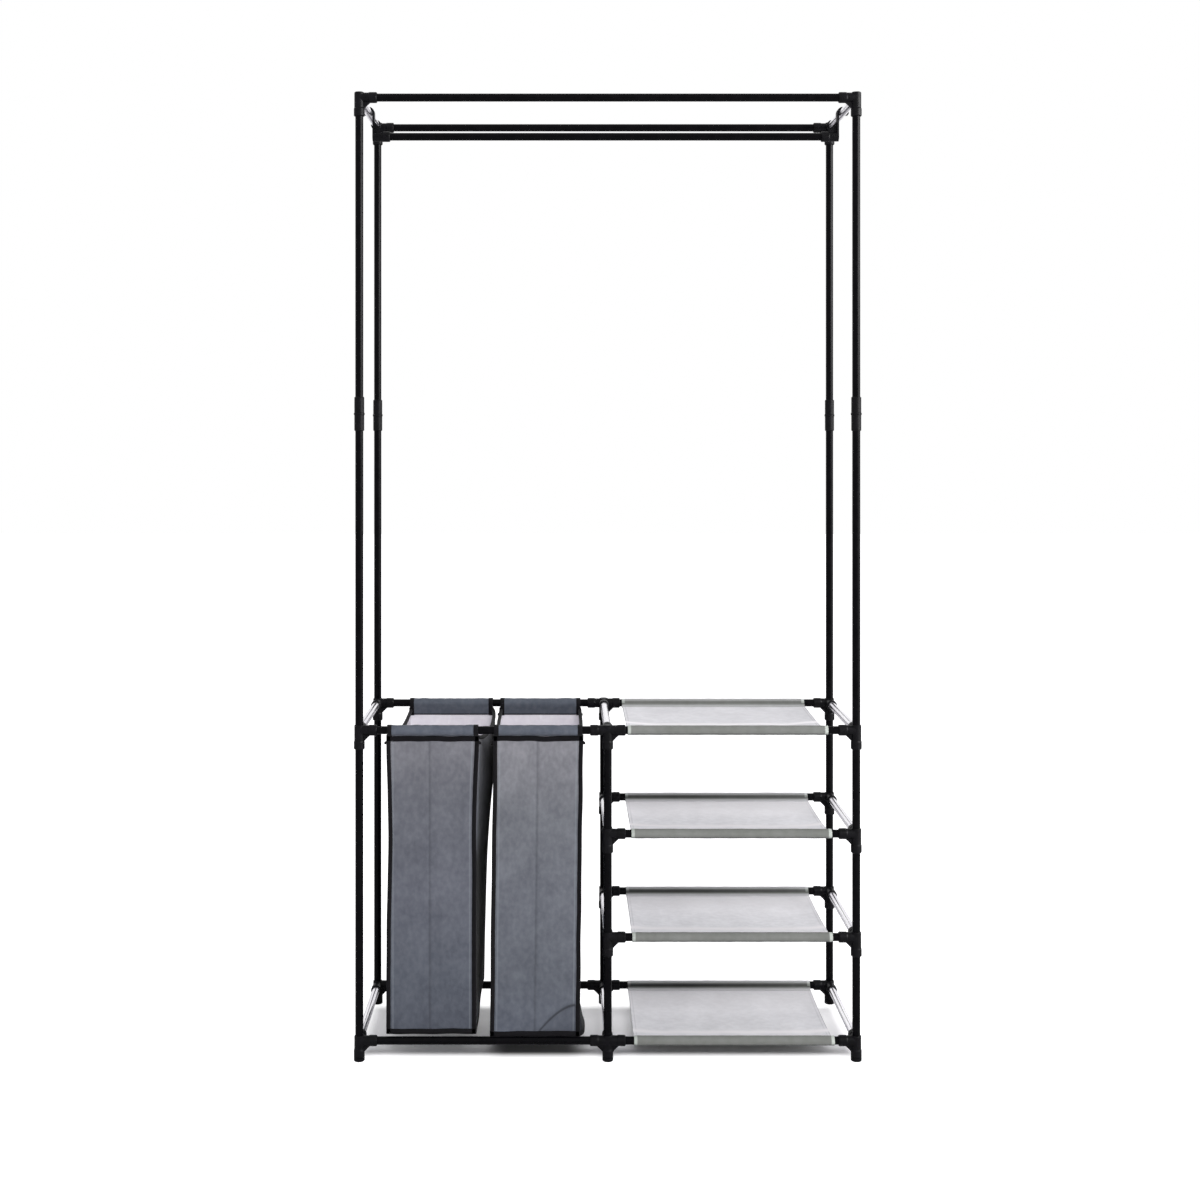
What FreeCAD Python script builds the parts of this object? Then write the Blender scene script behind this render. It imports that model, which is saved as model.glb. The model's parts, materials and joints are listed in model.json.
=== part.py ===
import FreeCAD, Part
import os

# Open garment rack of steel tubes pushed into moulded connectors.
# The tall frame holds a clothes rail that hangs across its middle.
# Below it, the left bay holds two laundry bags and the right bay four cloth shelves.
# X runs to the right, Y to the rear and Z up. The origin is on the floor under the middle.
# All lengths are in millimetres.

# Frame, measured between the axes of its posts and rails
post_span = 872.0
post_depth = 280.0
shelf_pitch = 181.5
shelf_count = 4
upper_section = 555.0
tube_diameter = 14.0
tube_wall = 0.8

# Moulded connectors, couplers and foot caps
fit_clearance = 0.1
socket_wall = 1.6
hub_wall = 5.0
rail_insertion = 19.0
post_insertion = 21.0
spigot_length = 18.0
collar_rise = 0.8
collar_length = 13.0
collar_taper = 2.0
mould_chamfer = 1.2
gusset_reach = 30.0
gusset_thickness = 6.0
gusset_hollow_share = 0.46
coupler_length = 60.0
coupler_stop = 2.0
coupler_ridge_width = 3.0
base_level = 35.0
foot_height = 6.0
foot_chamfer = 1.0
foot_plug_length = 12.0

# Clothes rail and its two hangers
clothes_rail_drop = 43.0
hanger_width = 16.0
hanger_wall = 3.6
hanger_lip = 3.0
hanger_insertion = 28.3
hanger_web_height = 27.0
hanger_web_length = 25.0

# Cloth shelves, with the gap between each shelf and the sockets at its left, and both its gaps together
shelf_cloth = 0.8
shelf_1_left_gap = 3.9
shelf_2_left_gap = 10.4
shelf_3_left_gap = 11.9
shelf_4_left_gap = 15.1
shelf_side_gaps = 22.8
shelf_drop = 4.0
shelf_sag = 6.0
shelf_slack = 0.2
cloth_clearance = 0.3

# Laundry bags, with the gaps from the left sockets to the centre ones
bag_cloth = 1.5
left_bag_gap = 17.6
middle_bag_gap = 31.9
right_bag_gap = 13.1
bag_bottom = 48.0
bag_slack = 1.0
binding_width = 8.0
binding_thickness = 1.2

# Radii and heights that follow from the sizes above
tube_radius = tube_diameter / 2
bore_radius = tube_radius + fit_clearance
inner_radius = tube_radius - tube_wall
spigot_radius = inner_radius - fit_clearance
sleeve_radius = bore_radius + socket_wall
collar_radius = sleeve_radius + collar_rise
socket_floor = bore_radius + hub_wall
arm_reach = socket_floor + rail_insertion
post_drop = socket_floor + post_insertion
foot_drop = base_level - foot_height
hub_top = collar_radius

levels = [base_level + shelf_pitch * i for i in range(shelf_count)]
rack_level = levels[-1]
coupler_level = rack_level + upper_section
top_level = coupler_level + upper_section

left, centre, right = -post_span / 2, 0.0, post_span / 2
bay_width = right - centre - 2 * arm_reach
shelf_left_gaps = [shelf_1_left_gap, shelf_2_left_gap, shelf_3_left_gap, shelf_4_left_gap]
shelf_width = bay_width - shelf_side_gaps
bag_width = (bay_width - left_bag_gap - middle_bag_gap - right_bag_gap) / 2
left_bag_x = left + arm_reach + left_bag_gap + bag_width / 2
right_bag_x = centre - arm_reach - right_bag_gap - bag_width / 2
front, rear = -post_depth / 2, post_depth / 2
x_axis = FreeCAD.Vector(1, 0, 0)
y_axis = FreeCAD.Vector(0, 1, 0)
z_axis = FreeCAD.Vector(0, 0, 1)


def point(x, y, z):
    return FreeCAD.Vector(x, y, z)


def rod(radius, start, end):
    """A solid round bar between two points."""
    along = end - start
    return Part.makeCylinder(radius, along.Length, start, along)


def tube(start, end):
    """A length of the frame's tube between two points."""
    return rod(tube_radius, start, end).cut(rod(inner_radius, start, end))


def turned(profile, base, direction):
    """A turned solid: pairs of radius and distance along the axis, from base towards direction."""
    corners = [point(radius, 0, along) for radius, along in profile]
    face = Part.Face(Part.makePolygon(corners + corners[:1]))
    solid = face.revolve(point(0, 0, 0), z_axis, 360)
    turn = FreeCAD.Rotation(z_axis, direction)
    solid.Placement = FreeCAD.Placement(base, turn)
    return solid


def block(low, high):
    """A rectangular solid between its lowest and highest corners."""
    size = high - low
    return Part.makeBox(size.x, size.y, size.z, low)


def fused(solids):
    return solids[0].multiFuse(solids[1:]).removeSplitter()


def socket_body(reach):
    """Outside of one socket: a plain sleeve with a thicker collar at its mouth."""
    collar_start = reach - collar_length
    return [
        (0, 0),
        (sleeve_radius, 0),
        (sleeve_radius, collar_start - collar_taper),
        (collar_radius, collar_start),
        (collar_radius, reach - mould_chamfer),
        (collar_radius - mould_chamfer, reach),
        (0, reach),
    ]


def gusset(origin, direction):
    """Web with a hollowed edge between an arm and the socket below the hub."""
    side = z_axis.cross(direction)
    half = side * (gusset_thickness / 2)
    far = origin + direction * gusset_reach
    low = origin - z_axis * gusset_reach
    hollow = origin + (direction - z_axis) * (gusset_reach * gusset_hollow_share)
    edges = [
        Part.LineSegment(origin, far).toShape(),
        Part.Arc(far, hollow, low).toShape(),
        Part.LineSegment(low, origin).toShape(),
    ]
    face = Part.Face(Part.Wire(edges))
    face.translate(-half)
    return face.extrude(half * 2)


def connector(x, y, level, arms, plain_arms=(), drop=post_drop, post_above=True):
    """Moulded connector: a socket below the hub, rail arms with or without a web, a spigot for a post above.
    It is made round the origin and then moved to its place."""
    origin = point(0, 0, 0)
    hub = [
        (0, 0),
        (sleeve_radius, 0),
        (sleeve_radius, hub_top - mould_chamfer),
        (sleeve_radius - mould_chamfer, hub_top),
        (0, hub_top),
    ]
    body = [turned(hub, origin, z_axis), turned(socket_body(drop), origin, -z_axis)]
    body += [gusset(origin, direction) for direction in arms]
    bores = [rod(bore_radius, origin - z_axis * socket_floor, origin - z_axis * drop)]
    for direction in arms + list(plain_arms):
        body.append(turned(socket_body(arm_reach), origin, direction))
        bores.append(rod(bore_radius, origin + direction * socket_floor, origin + direction * arm_reach))
    solid = fused(body)
    for bore in bores:
        solid = solid.cut(bore)
    if post_above:
        root = origin + z_axis * (hub_top - mould_chamfer)
        solid = fused([solid, rod(spigot_radius, root, origin + z_axis * (hub_top + spigot_length))])
    return solid.Solids[0].translated(point(x, y, level))


def post(x, y, low_level, high_level):
    """Post tube from the top of one connector into the socket of the next."""
    return tube(point(x, y, low_level + hub_top), point(x, y, high_level - socket_floor))


def rail(start, end):
    """Rail tube between two connector origins, pushed into their sockets."""
    along = (end - start).normalize() * socket_floor
    return tube(start + along, end - along)


def coupler(x, y):
    """Sleeve that joins two post tubes end to end, with a stop ring between them."""
    half = coupler_length / 2
    ridge = coupler_ridge_width / 2
    profile = [
        (0, -half),
        (sleeve_radius - mould_chamfer, -half),
        (sleeve_radius, mould_chamfer - half),
        (sleeve_radius, -ridge - collar_rise),
        (collar_radius, -ridge),
        (collar_radius, ridge),
        (sleeve_radius, ridge + collar_rise),
        (sleeve_radius, half - mould_chamfer),
        (sleeve_radius - mould_chamfer, half),
        (0, half),
    ]
    middle = point(x, y, coupler_level)
    stop = z_axis * (coupler_stop / 2)
    end = z_axis * half
    solid = turned(profile, middle, z_axis)
    solid = solid.cut(rod(bore_radius, middle + stop, middle + end))
    solid = solid.cut(rod(bore_radius, middle - end, middle - stop))
    return solid.cut(rod(inner_radius, middle - stop, middle + stop))


def foot_cap(x, y):
    """Foot cap with a plug in the lowest socket."""
    profile = [
        (0, 0),
        (collar_radius - foot_chamfer, 0),
        (collar_radius, foot_chamfer),
        (collar_radius, foot_height),
        (tube_radius, foot_height),
        (tube_radius, foot_height + foot_plug_length),
        (0, foot_height + foot_plug_length),
    ]
    return turned(profile, point(x, y, 0), z_axis)


hook_radius = bore_radius + hanger_wall
rail_end = right - hook_radius
clothes_rail_level = top_level - clothes_rail_drop


def clothes_rail():
    return tube(point(-rail_end, 0, clothes_rail_level), point(rail_end, 0, clothes_rail_level))


def rail_hanger():
    """Right bracket: a hook over the top side rail, a plate down its inner side, a socket for the clothes rail.
    A web joins the plate and the socket. The hook is open below, with a lip that snaps under the rail."""
    plate_face = right - bore_radius
    half_width = hanger_width / 2
    ring_start = point(right, -half_width, top_level)
    ring_end = point(right, half_width, top_level)
    below_low = point(right - hook_radius, -half_width, top_level - hook_radius)
    below_high = point(right + hook_radius, half_width, top_level - hanger_lip)
    hook = rod(hook_radius, ring_start, ring_end).cut(block(below_low, below_high))
    plate_low = point(rail_end, -half_width, clothes_rail_level)
    plate = block(plate_low, point(plate_face, half_width, top_level))
    socket_end = point(plate_face, 0, clothes_rail_level)
    socket = turned(socket_body(hanger_wall + hanger_insertion), socket_end, -x_axis)
    web_corner = point(rail_end, -gusset_thickness / 2, clothes_rail_level)
    web_corners = [web_corner, web_corner - x_axis * hanger_web_length, web_corner + z_axis * hanger_web_height]
    web = Part.Face(Part.makePolygon(web_corners + web_corners[:1])).extrude(y_axis * gusset_thickness)
    solid = fused([hook, plate, socket, web])
    solid = solid.cut(rod(bore_radius, ring_start, ring_end))
    bore_start = point(rail_end, 0, clothes_rail_level)
    return solid.cut(rod(bore_radius, bore_start, bore_start - x_axis * hanger_insertion)).Solids[0]


def stadium(radius, x, y, level, length, slack):
    """Rod of round-ended section: the outline of a cloth sleeve that hangs slack below a rail."""
    top = rod(radius, point(x, y, level), point(x + length, y, level))
    low = top.translated(-z_axis * slack)
    middle = block(point(x, y - radius, level - slack), point(x + length, y + radius, level))
    return fused([top, low, middle])


sleeve_inner = tube_radius + cloth_clearance


def cloth_shelf(level, left_gap):
    """Shelf cloth: a sagging sheet between a sleeve round the front rail and one round the rear rail.
    The sheet joins each sleeve a little below the axis of its rail."""
    start = centre + arm_reach + left_gap
    top = level - shelf_drop
    underside = top - shelf_cloth

    def curve(height):
        ends = point(start, front, height), point(start, rear, height)
        return Part.Arc(ends[0], point(start, 0, height - shelf_sag), ends[1]).toShape()

    sides = [
        Part.LineSegment(point(start, y, top), point(start, y, underside)).toShape()
        for y in (front, rear)
    ]
    outline = Part.Wire([curve(top), sides[1], curve(underside), sides[0]])
    sheet = Part.Face(outline).extrude(x_axis * shelf_width)

    def sleeve(radius, y):
        return stadium(radius, start, y, level, shelf_width, shelf_slack)

    solid = fused([sheet] + [sleeve(sleeve_inner + shelf_cloth, y) for y in (front, rear)])
    for y in (front, rear):
        solid = solid.cut(sleeve(sleeve_inner, y))
    return solid.Solids[0]


sleeve_outer = sleeve_inner + bag_cloth
mouth_level = rack_level - bag_slack - sleeve_outer
half_cloth = bag_cloth / 2


def bag_sides(x):
    """Lowest and highest X of a bag's outer faces."""
    return x - bag_width / 2, x + bag_width / 2


def laundry_bag(x):
    """Sewn bag, open at the top, hung by a sleeve round the front rail and one round the rear rail."""
    low_x, high_x = bag_sides(x)
    sleeve_x = low_x + binding_width
    sleeve_length = bag_width - 2 * binding_width
    low_y, high_y = front - half_cloth, rear + half_cloth
    body = block(point(low_x, low_y, bag_bottom), point(high_x, high_y, mouth_level))
    inside_low = point(low_x + bag_cloth, low_y + bag_cloth, bag_bottom + bag_cloth)
    body = body.cut(block(inside_low, point(high_x - bag_cloth, high_y - bag_cloth, mouth_level)))
    pieces = [body]
    for y in (front, rear):
        neck_low = point(sleeve_x, y - half_cloth, mouth_level)
        neck_high = point(sleeve_x + sleeve_length, y + half_cloth, rack_level - sleeve_inner)
        pieces.append(block(neck_low, neck_high))
        pieces.append(stadium(sleeve_outer, sleeve_x, y, rack_level, sleeve_length, bag_slack))
    solid = fused(pieces)
    for y in (front, rear):
        solid = solid.cut(stadium(sleeve_inner, sleeve_x, y, rack_level, sleeve_length, bag_slack))
    return solid.Solids[0]


def bag_binding(x):
    """Tape sewn round the bag's edges: a thin outer box with a window left in each of its four sides."""
    low_x, high_x = bag_sides(x)
    low_y, high_y = front - half_cloth, rear + half_cloth
    thick = binding_thickness
    tape = block(
        point(low_x - thick, low_y - thick, bag_bottom),
        point(high_x + thick, high_y + thick, mouth_level),
    )
    tape = tape.cut(block(point(low_x, low_y, bag_bottom), point(high_x, high_y, mouth_level)))
    low = bag_bottom + binding_width
    high = mouth_level - binding_width
    across_x = block(
        point(low_x - thick, low_y + binding_width, low),
        point(high_x + thick, high_y - binding_width, high),
    )
    across_y = block(
        point(low_x + binding_width, low_y - thick, low),
        point(high_x - binding_width, high_y + thick, high),
    )
    return tape.cut(across_x).cut(across_y).Solids[0]


rows = {"front": (front, y_axis), "rear": (rear, -y_axis)}
columns = {"left": (left, [x_axis]), "right": (right, [-x_axis])}
nodes = {}


def group(solids):
    return Part.makeCompound(list(solids))


def posts_and_top():
    """The four tall posts, their couplers, and the rectangle of rails at the top."""
    half_stop = coupler_stop / 2
    for row, (y, inward) in rows.items():
        for column, (x, arms) in columns.items():
            corner = row + "_" + column
            low = point(x, y, rack_level + hub_top)
            joint_low = point(x, y, coupler_level - half_stop)
            joint_high = point(x, y, coupler_level + half_stop)
            high = point(x, y, top_level - socket_floor)
            nodes["middle_post_" + corner] = tube(low, joint_low)
            nodes["upper_post_" + corner] = tube(joint_high, high)
            all_arms = arms + [inward]
            nodes["top_connector_" + corner] = connector(x, y, top_level, all_arms, post_above=False)
            nodes["rack_connector_" + corner] = connector(x, y, rack_level, all_arms)
        nodes["top_rail_" + row] = rail(point(left, y, top_level), point(right, y, top_level))
    nodes["post_couplers"] = group(coupler(x, y) for x in (left, right) for y in (front, rear))
    nodes["top_side_rails"] = group(
        rail(point(x, front, top_level), point(x, rear, top_level)) for x in (left, right)
    )


def rack_posts():
    """Posts below the rack level: one long tube at each left corner, a tube per shelf elsewhere."""
    for row, (y, inward) in rows.items():
        nodes["lower_post_" + row + "_left"] = post(left, y, base_level, rack_level)
        for name, x in (("centre", centre), ("right", right)):
            stretches = zip(levels[:-1], levels[1:])
            nodes["lower_posts_" + row + "_" + name] = group(post(x, y, a, b) for a, b in stretches)
        nodes["rack_connector_" + row + "_centre"] = connector(
            centre, y, rack_level, [x_axis, inward], plain_arms=[-x_axis], post_above=False
        )


def bay_rails():
    """Rails of the bag bay on the left and of the shelf bay on the right."""
    for row, (y, inward) in rows.items():
        for name, level in (("bag", rack_level), ("base", base_level)):
            nodes[name + "_rail_" + row] = rail(point(left, y, level), point(centre, y, level))
        for i, level in enumerate(levels):
            name = "shelf_%d_rail_%s" % (shelf_count - i, row)
            nodes[name] = rail(point(centre, y, level), point(right, y, level))
    nodes["left_side_rails"] = group(
        rail(point(left, front, level), point(left, rear, level)) for level in (base_level, rack_level)
    )
    for i, level in enumerate(levels):
        sides = [rail(point(x, front, level), point(x, rear, level)) for x in (centre, right)]
        nodes["shelf_%d_side_rails" % (shelf_count - i)] = group(sides)


def shelf_connectors():
    """Connectors of the middle shelves and of the base, and the foot caps."""
    for i, level in enumerate(levels[1:-1], start=1):
        solids = []
        for y, inward in rows.values():
            solids.append(connector(centre, y, level, [x_axis, inward]))
            solids.append(connector(right, y, level, [-x_axis, inward]))
        nodes["shelf_%d_connectors" % (shelf_count - i)] = group(solids)
    feet = []
    solids = []
    for y, inward in rows.values():
        for x, arms in ((left, [x_axis]), (centre, [-x_axis, x_axis]), (right, [-x_axis])):
            solids.append(connector(x, y, base_level, arms + [inward], drop=foot_drop))
            feet.append(foot_cap(x, y))
    nodes["base_connectors"] = group(solids)
    nodes["foot_caps"] = group(feet)


def cloth_and_clothes_rail():
    """What the frame carries: shelves, bags and the hanging clothes rail."""
    for i, level in enumerate(levels):
        number = shelf_count - i
        nodes["shelf_%d_cloth" % number] = cloth_shelf(level, shelf_left_gaps[number - 1])
    for name, x in (("left", left_bag_x), ("right", right_bag_x)):
        nodes["laundry_bag_" + name] = laundry_bag(x)
        nodes["bag_binding_" + name] = bag_binding(x)
    nodes["clothes_rail"] = clothes_rail()
    hanger = rail_hanger()
    nodes["rail_hangers"] = group([hanger, hanger.mirror(point(0, 0, 0), x_axis)])


posts_and_top()
rack_posts()
bay_rails()
shelf_connectors()
cloth_and_clothes_rail()

os.makedirs("parts", exist_ok=True)
for name, shape in nodes.items():
    shape.exportStep("parts/" + name + ".step")
    print(name, len(shape.Solids), "solids,", round(shape.Volume / 1000, 2), "cm3, valid", shape.isValid())
print(len(nodes), "nodes")
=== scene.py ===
"""Open garment rack: black tubes in moulded connectors, a clothes rail, laundry bags and cloth shelves.
Lengths are in metres."""
import json
import bpy
import numpy as np
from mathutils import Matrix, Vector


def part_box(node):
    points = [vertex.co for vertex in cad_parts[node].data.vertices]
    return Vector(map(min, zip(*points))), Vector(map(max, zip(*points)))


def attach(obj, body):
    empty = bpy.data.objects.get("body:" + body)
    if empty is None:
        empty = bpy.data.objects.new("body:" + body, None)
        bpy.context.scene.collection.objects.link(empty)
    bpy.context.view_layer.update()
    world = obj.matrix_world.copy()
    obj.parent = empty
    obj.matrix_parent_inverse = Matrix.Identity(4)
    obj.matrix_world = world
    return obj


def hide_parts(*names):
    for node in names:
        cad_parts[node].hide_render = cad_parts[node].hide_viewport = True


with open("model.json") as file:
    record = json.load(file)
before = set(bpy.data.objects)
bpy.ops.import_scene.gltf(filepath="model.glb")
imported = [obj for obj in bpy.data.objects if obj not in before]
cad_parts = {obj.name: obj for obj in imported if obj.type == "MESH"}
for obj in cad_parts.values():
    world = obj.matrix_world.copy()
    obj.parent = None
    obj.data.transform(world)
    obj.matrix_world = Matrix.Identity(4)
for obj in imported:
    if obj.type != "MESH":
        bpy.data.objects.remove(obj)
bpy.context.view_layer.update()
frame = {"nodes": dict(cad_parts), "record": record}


# The view. The rack was photographed square on from about 2.8 m, at a height of 1.1 m.
# The lens looked straight along the depth of the rack, and the picture was cut off centre.
picture_width = 1200
sight_line_column = 562.0
horizon_row = 430.0
distance_in_pixels = 1594.0
camera_place = (-0.0803, -2.937, 1.1062)

view = bpy.data.cameras.new("photograph_view")
view.sensor_width = 36.0
view.lens = distance_in_pixels / picture_width * view.sensor_width
view.shift_x = 0.5 - sight_line_column / picture_width
view.shift_y = horizon_row / picture_width - 0.5
camera = bpy.data.objects.new("photograph_view", view)
camera.location = camera_place
camera.rotation_euler = (np.pi / 2, 0, 0)
bpy.context.scene.collection.objects.link(camera)
bpy.context.scene.camera = camera
bpy.context.scene.view_settings.view_transform = "Standard"


# The studio: a white floor that fades into a white background, a large soft light high in front,
# a weak one overhead, and a tall soft panel at the right that draws the grey stripe down the tubes.
# A higher panel, which shows in reflections alone, makes the stripe stronger on the upper posts.
def srgb(red, green, blue):
    """Linear colour from the 0 to 255 values of a paint card."""
    card = np.array([red, green, blue]) / 255.0
    linear = np.where(card > 0.04045, ((card + 0.055) / 1.055) ** 2.4, card / 12.92)
    return (*linear.tolist(), 1.0)


def add(tree, kind, inputs=None, **settings):
    """Adds a shader node. Each input is a value, or another node's output that is linked to it."""
    made = tree.nodes.new(kind)
    for name, value in settings.items():
        setattr(made, name, value)
    for name, value in (inputs or {}).items():
        if isinstance(value, bpy.types.NodeSocket):
            tree.links.new(value, made.inputs[name])
        else:
            made.inputs[name].default_value = value
    return made


def reckon(tree, operation, first, second=0.0):
    """One step of arithmetic on two numbers."""
    return add(tree, "ShaderNodeMath", {0: first, 1: second}, operation=operation).outputs[0]


def rescale(tree, value, old, new, how="LINEAR"):
    """Carries a value from an old range over to a new one, and holds it at both ends."""
    ends = {"Value": value, "From Min": old[0], "From Max": old[1], "To Min": new[0], "To Max": new[1]}
    return add(tree, "ShaderNodeMapRange", ends, interpolation_type=how).outputs[0]


def blend(tree, share, first, second, how="MIX"):
    """Two colours mixed by a share, or multiplied."""
    return add(tree, "ShaderNodeMix", {"Factor": share, 6: first, 7: second}, data_type="RGBA",
               blend_type=how).outputs[2]


def surface(tree, inputs):
    """The Principled shader of a material, joined to its output."""
    shader = add(tree, "ShaderNodeBsdfPrincipled", inputs)
    add(tree, "ShaderNodeOutputMaterial", {"Surface": shader.outputs[0]})


def empty_material(name):
    """A new material without nodes, and its node tree."""
    material = bpy.data.materials.new(name)
    material.use_nodes = True
    material.node_tree.nodes.clear()
    return material, material.node_tree


# The floor glows for the camera alone, so that it reads as white: least below the bags, most away from the
# rack. The glow is painted light, a little stronger below the left bag than the right one and stronger
# towards the rear. A painted shadow, a dark patch, lies below the right bag. The world's light is stronger
# from behind the rack.
floor_white = srgb(242, 241, 244)
floor_half_width = 14.0
lift_under_left_bag = 0.07
lift_under_right_bag = 0.01
lift_under_rear = 0.20
lift_far_away = 0.85
between_bags = (-0.25, -0.19)
front_to_rear = (-0.07, 0.05)
rack_footprint = (0.42, 0.10)
fade_width = 0.035
painted_shadow_below_bag = 0.8
painted_shadow_middle = -0.125
painted_shadow_half_width = (0.05, 0.10)
painted_shadow_depth = (-0.04, -0.07)
painted_shadow_fade_width = 0.042
background_white = 1.0
ambient_from_front = 0.34
ambient_from_behind = 0.85
ambient_turns = 0.5

material, tree = empty_material("studio_floor")
place = add(tree, "ShaderNodeSeparateXYZ", {0: add(tree, "ShaderNodeTexCoord").outputs["Object"]}).outputs
beyond = []
for axis, half in zip("XY", rack_footprint):
    past = reckon(tree, "SUBTRACT", reckon(tree, "ABSOLUTE", place[axis]), half)
    beyond.append(reckon(tree, "POWER", reckon(tree, "MAXIMUM", past), 2.0))
distance = reckon(tree, "SQRT", reckon(tree, "ADD", *beyond))
below_bags = rescale(tree, place["X"], between_bags, (lift_under_left_bag, lift_under_right_bag))
below = rescale(tree, place["Y"], front_to_rear, (below_bags, lift_under_rear))
fade = rescale(tree, distance, (0.0, fade_width), (below, lift_far_away), "SMOOTHSTEP")
# The painted shadow: the floor's colour darkened below the right bag, fading at its sides, to the rear and
# away.
off_bag = reckon(tree, "ABSOLUTE", reckon(tree, "SUBTRACT", place["X"], painted_shadow_middle))
dark = rescale(tree, off_bag, painted_shadow_half_width, (painted_shadow_below_bag, 0.0), "SMOOTHSTEP")
dark = rescale(tree, place["Y"], painted_shadow_depth, (0.0, dark))
dark = rescale(tree, distance, (0.0, painted_shadow_fade_width), (dark, 0.0))
tone = blend(tree, dark, floor_white, (0, 0, 0, 1))
rays = add(tree, "ShaderNodeLightPath").outputs
seen = reckon(tree, "MULTIPLY", rays["Is Camera Ray"], fade)
matt = add(tree, "ShaderNodeBsdfDiffuse", {"Color": tone})
glow = add(tree, "ShaderNodeEmission", {"Color": (1, 1, 1, 1), "Strength": seen})
both = add(tree, "ShaderNodeAddShader", {0: matt.outputs[0], 1: glow.outputs[0]})
add(tree, "ShaderNodeOutputMaterial", {"Surface": both.outputs[0]})

corners = floor_half_width * np.array([(-1, -1, 0), (1, -1, 0), (1, 1, 0), (-1, 1, 0)])
floor_mesh = bpy.data.meshes.new("studio_floor")
floor_mesh.from_pydata(corners.tolist(), [], [(0, 1, 2, 3)])
floor_mesh.materials.append(material)
floor = bpy.data.objects.new("studio_floor", floor_mesh)
bpy.context.scene.collection.objects.link(floor)

world = bpy.data.worlds.new("studio_background")
world.use_nodes = True
bpy.context.scene.world = world
tree = world.node_tree
tree.nodes.clear()
way = add(tree, "ShaderNodeSeparateXYZ", {0: add(tree, "ShaderNodeTexCoord").outputs["Object"]}).outputs
around = rescale(tree, way["Y"], (0.0, ambient_turns), (ambient_from_front, ambient_from_behind))
rays = add(tree, "ShaderNodeLightPath").outputs
white = reckon(tree, "MAXIMUM", rays["Is Camera Ray"], rays["Is Glossy Ray"])
level = rescale(tree, white, (0.0, 1.0), (around, background_white))
sky = add(tree, "ShaderNodeBackground", {"Color": (1, 1, 1, 1), "Strength": level})
add(tree, "ShaderNodeOutputWorld", {"Surface": sky.outputs[0]})


def soft_light(name, place, turn, size, watts, mirrored=True, lights=True):
    """A rectangular lamp at a place, turned by degrees about X, Y and Z. It may be left out of
    reflections, or show in reflections alone."""
    lamp = bpy.data.lights.new(name, "AREA")
    lamp.shape = "RECTANGLE"
    lamp.size, lamp.size_y = size
    lamp.energy = watts
    holder = bpy.data.objects.new(name, lamp)
    holder.location = place
    holder.rotation_euler = np.radians(turn)
    holder.visible_glossy = mirrored
    holder.visible_diffuse = lights
    bpy.context.scene.collection.objects.link(holder)


soft_light("high_front", (0.5, -3.7, 3.0), turn=(57, 0, 7), size=(2.8, 1.3), watts=118.0, mirrored=False)
soft_light("overhead", (0.0, -0.25, 3.3), turn=(-4, 0, 0), size=(2.4, 1.6), watts=4.0, mirrored=False)
soft_light("right_panel", (2.8, -1.2, 1.2), turn=(90, 0, 67), size=(2.2, 2.4), watts=40.0)
soft_light("upper_panel", (2.75, -1.15, 2.0), turn=(90, 0, 67), size=(2.6, 1.3), watts=170.0, lights=False)


# The tubes: thin steel tube, black powder coat on the posts and long rails.
# The coat has the fine skin of sprayed powder, a little glossier in some places than in others.
def effect(name, inputs, outputs):
    """A node group with named sockets, and the nodes that stand for its inputs and its outputs."""
    group = bpy.data.node_groups.new(name, "ShaderNodeTree")
    for label, kind, value in inputs:
        socket = group.interface.new_socket(label, in_out="INPUT", socket_type="NodeSocket" + kind)
        socket.default_value = value
    for label, kind in outputs:
        group.interface.new_socket(label, in_out="OUTPUT", socket_type="NodeSocket" + kind)
    return group, group.nodes.new("NodeGroupInput").outputs, group.nodes.new("NodeGroupOutput").inputs


# Grain: two sizes of noise added up. It gives a height for bump, and a mask of where the surface is paler.
grain, given, result = effect(
    "grain",
    [("Vector", "Vector", (0, 0, 0)), ("Fine Scale", "Float", 900.0), ("Broad Scale", "Float", 40.0),
     ("Broad Share", "Float", 0.3)],
    [("Height", "Float"), ("Mask", "Float")],
)
fine, broad = [
    add(grain, "ShaderNodeTexNoise", {"Vector": given["Vector"], "Scale": given[size], "Detail": detail})
    for size, detail in (("Fine Scale", 2.0), ("Broad Scale", 3.0))
]
height = add(grain, "ShaderNodeMix", {"Factor": given["Broad Share"], 2: fine.outputs["Fac"],
                                      3: broad.outputs["Fac"]}, data_type="FLOAT")
grain.links.new(height.outputs[0], result["Height"])
grain.links.new(rescale(grain, broad.outputs["Fac"], (0.38, 0.66), (0.0, 1.0)), result["Mask"])


def grained(tree, place, fine_scale, broad_scale, broad_share):
    """Puts the grain into a material, with its own values."""
    values = {"Vector": place, "Fine Scale": fine_scale, "Broad Scale": broad_scale,
              "Broad Share": broad_share}
    return add(tree, "ShaderNodeGroup", values, node_tree=grain).outputs


def bumped(tree, height, distance):
    """The surface's direction, tilted by a height."""
    return add(tree, "ShaderNodeBump", {"Height": height, "Distance": distance}).outputs[0]


def finish_surface(name, colours, roughness, bump, fine_scale, broad_scale, specular):
    """A solid finish: two near colours and two roughnesses mixed by the broad grain, with bump from
    the fine."""
    material, tree = empty_material(name)
    place = add(tree, "ShaderNodeTexCoord").outputs["Object"]
    skin = grained(tree, place, fine_scale, broad_scale, 0.25)
    surface(tree, {"Base Color": blend(tree, skin["Mask"], *colours),
                   "Roughness": rescale(tree, skin["Mask"], (0.0, 1.0), roughness),
                   "Normal": bumped(tree, skin["Height"], bump), "Specular IOR Level": specular})
    return material


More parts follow.
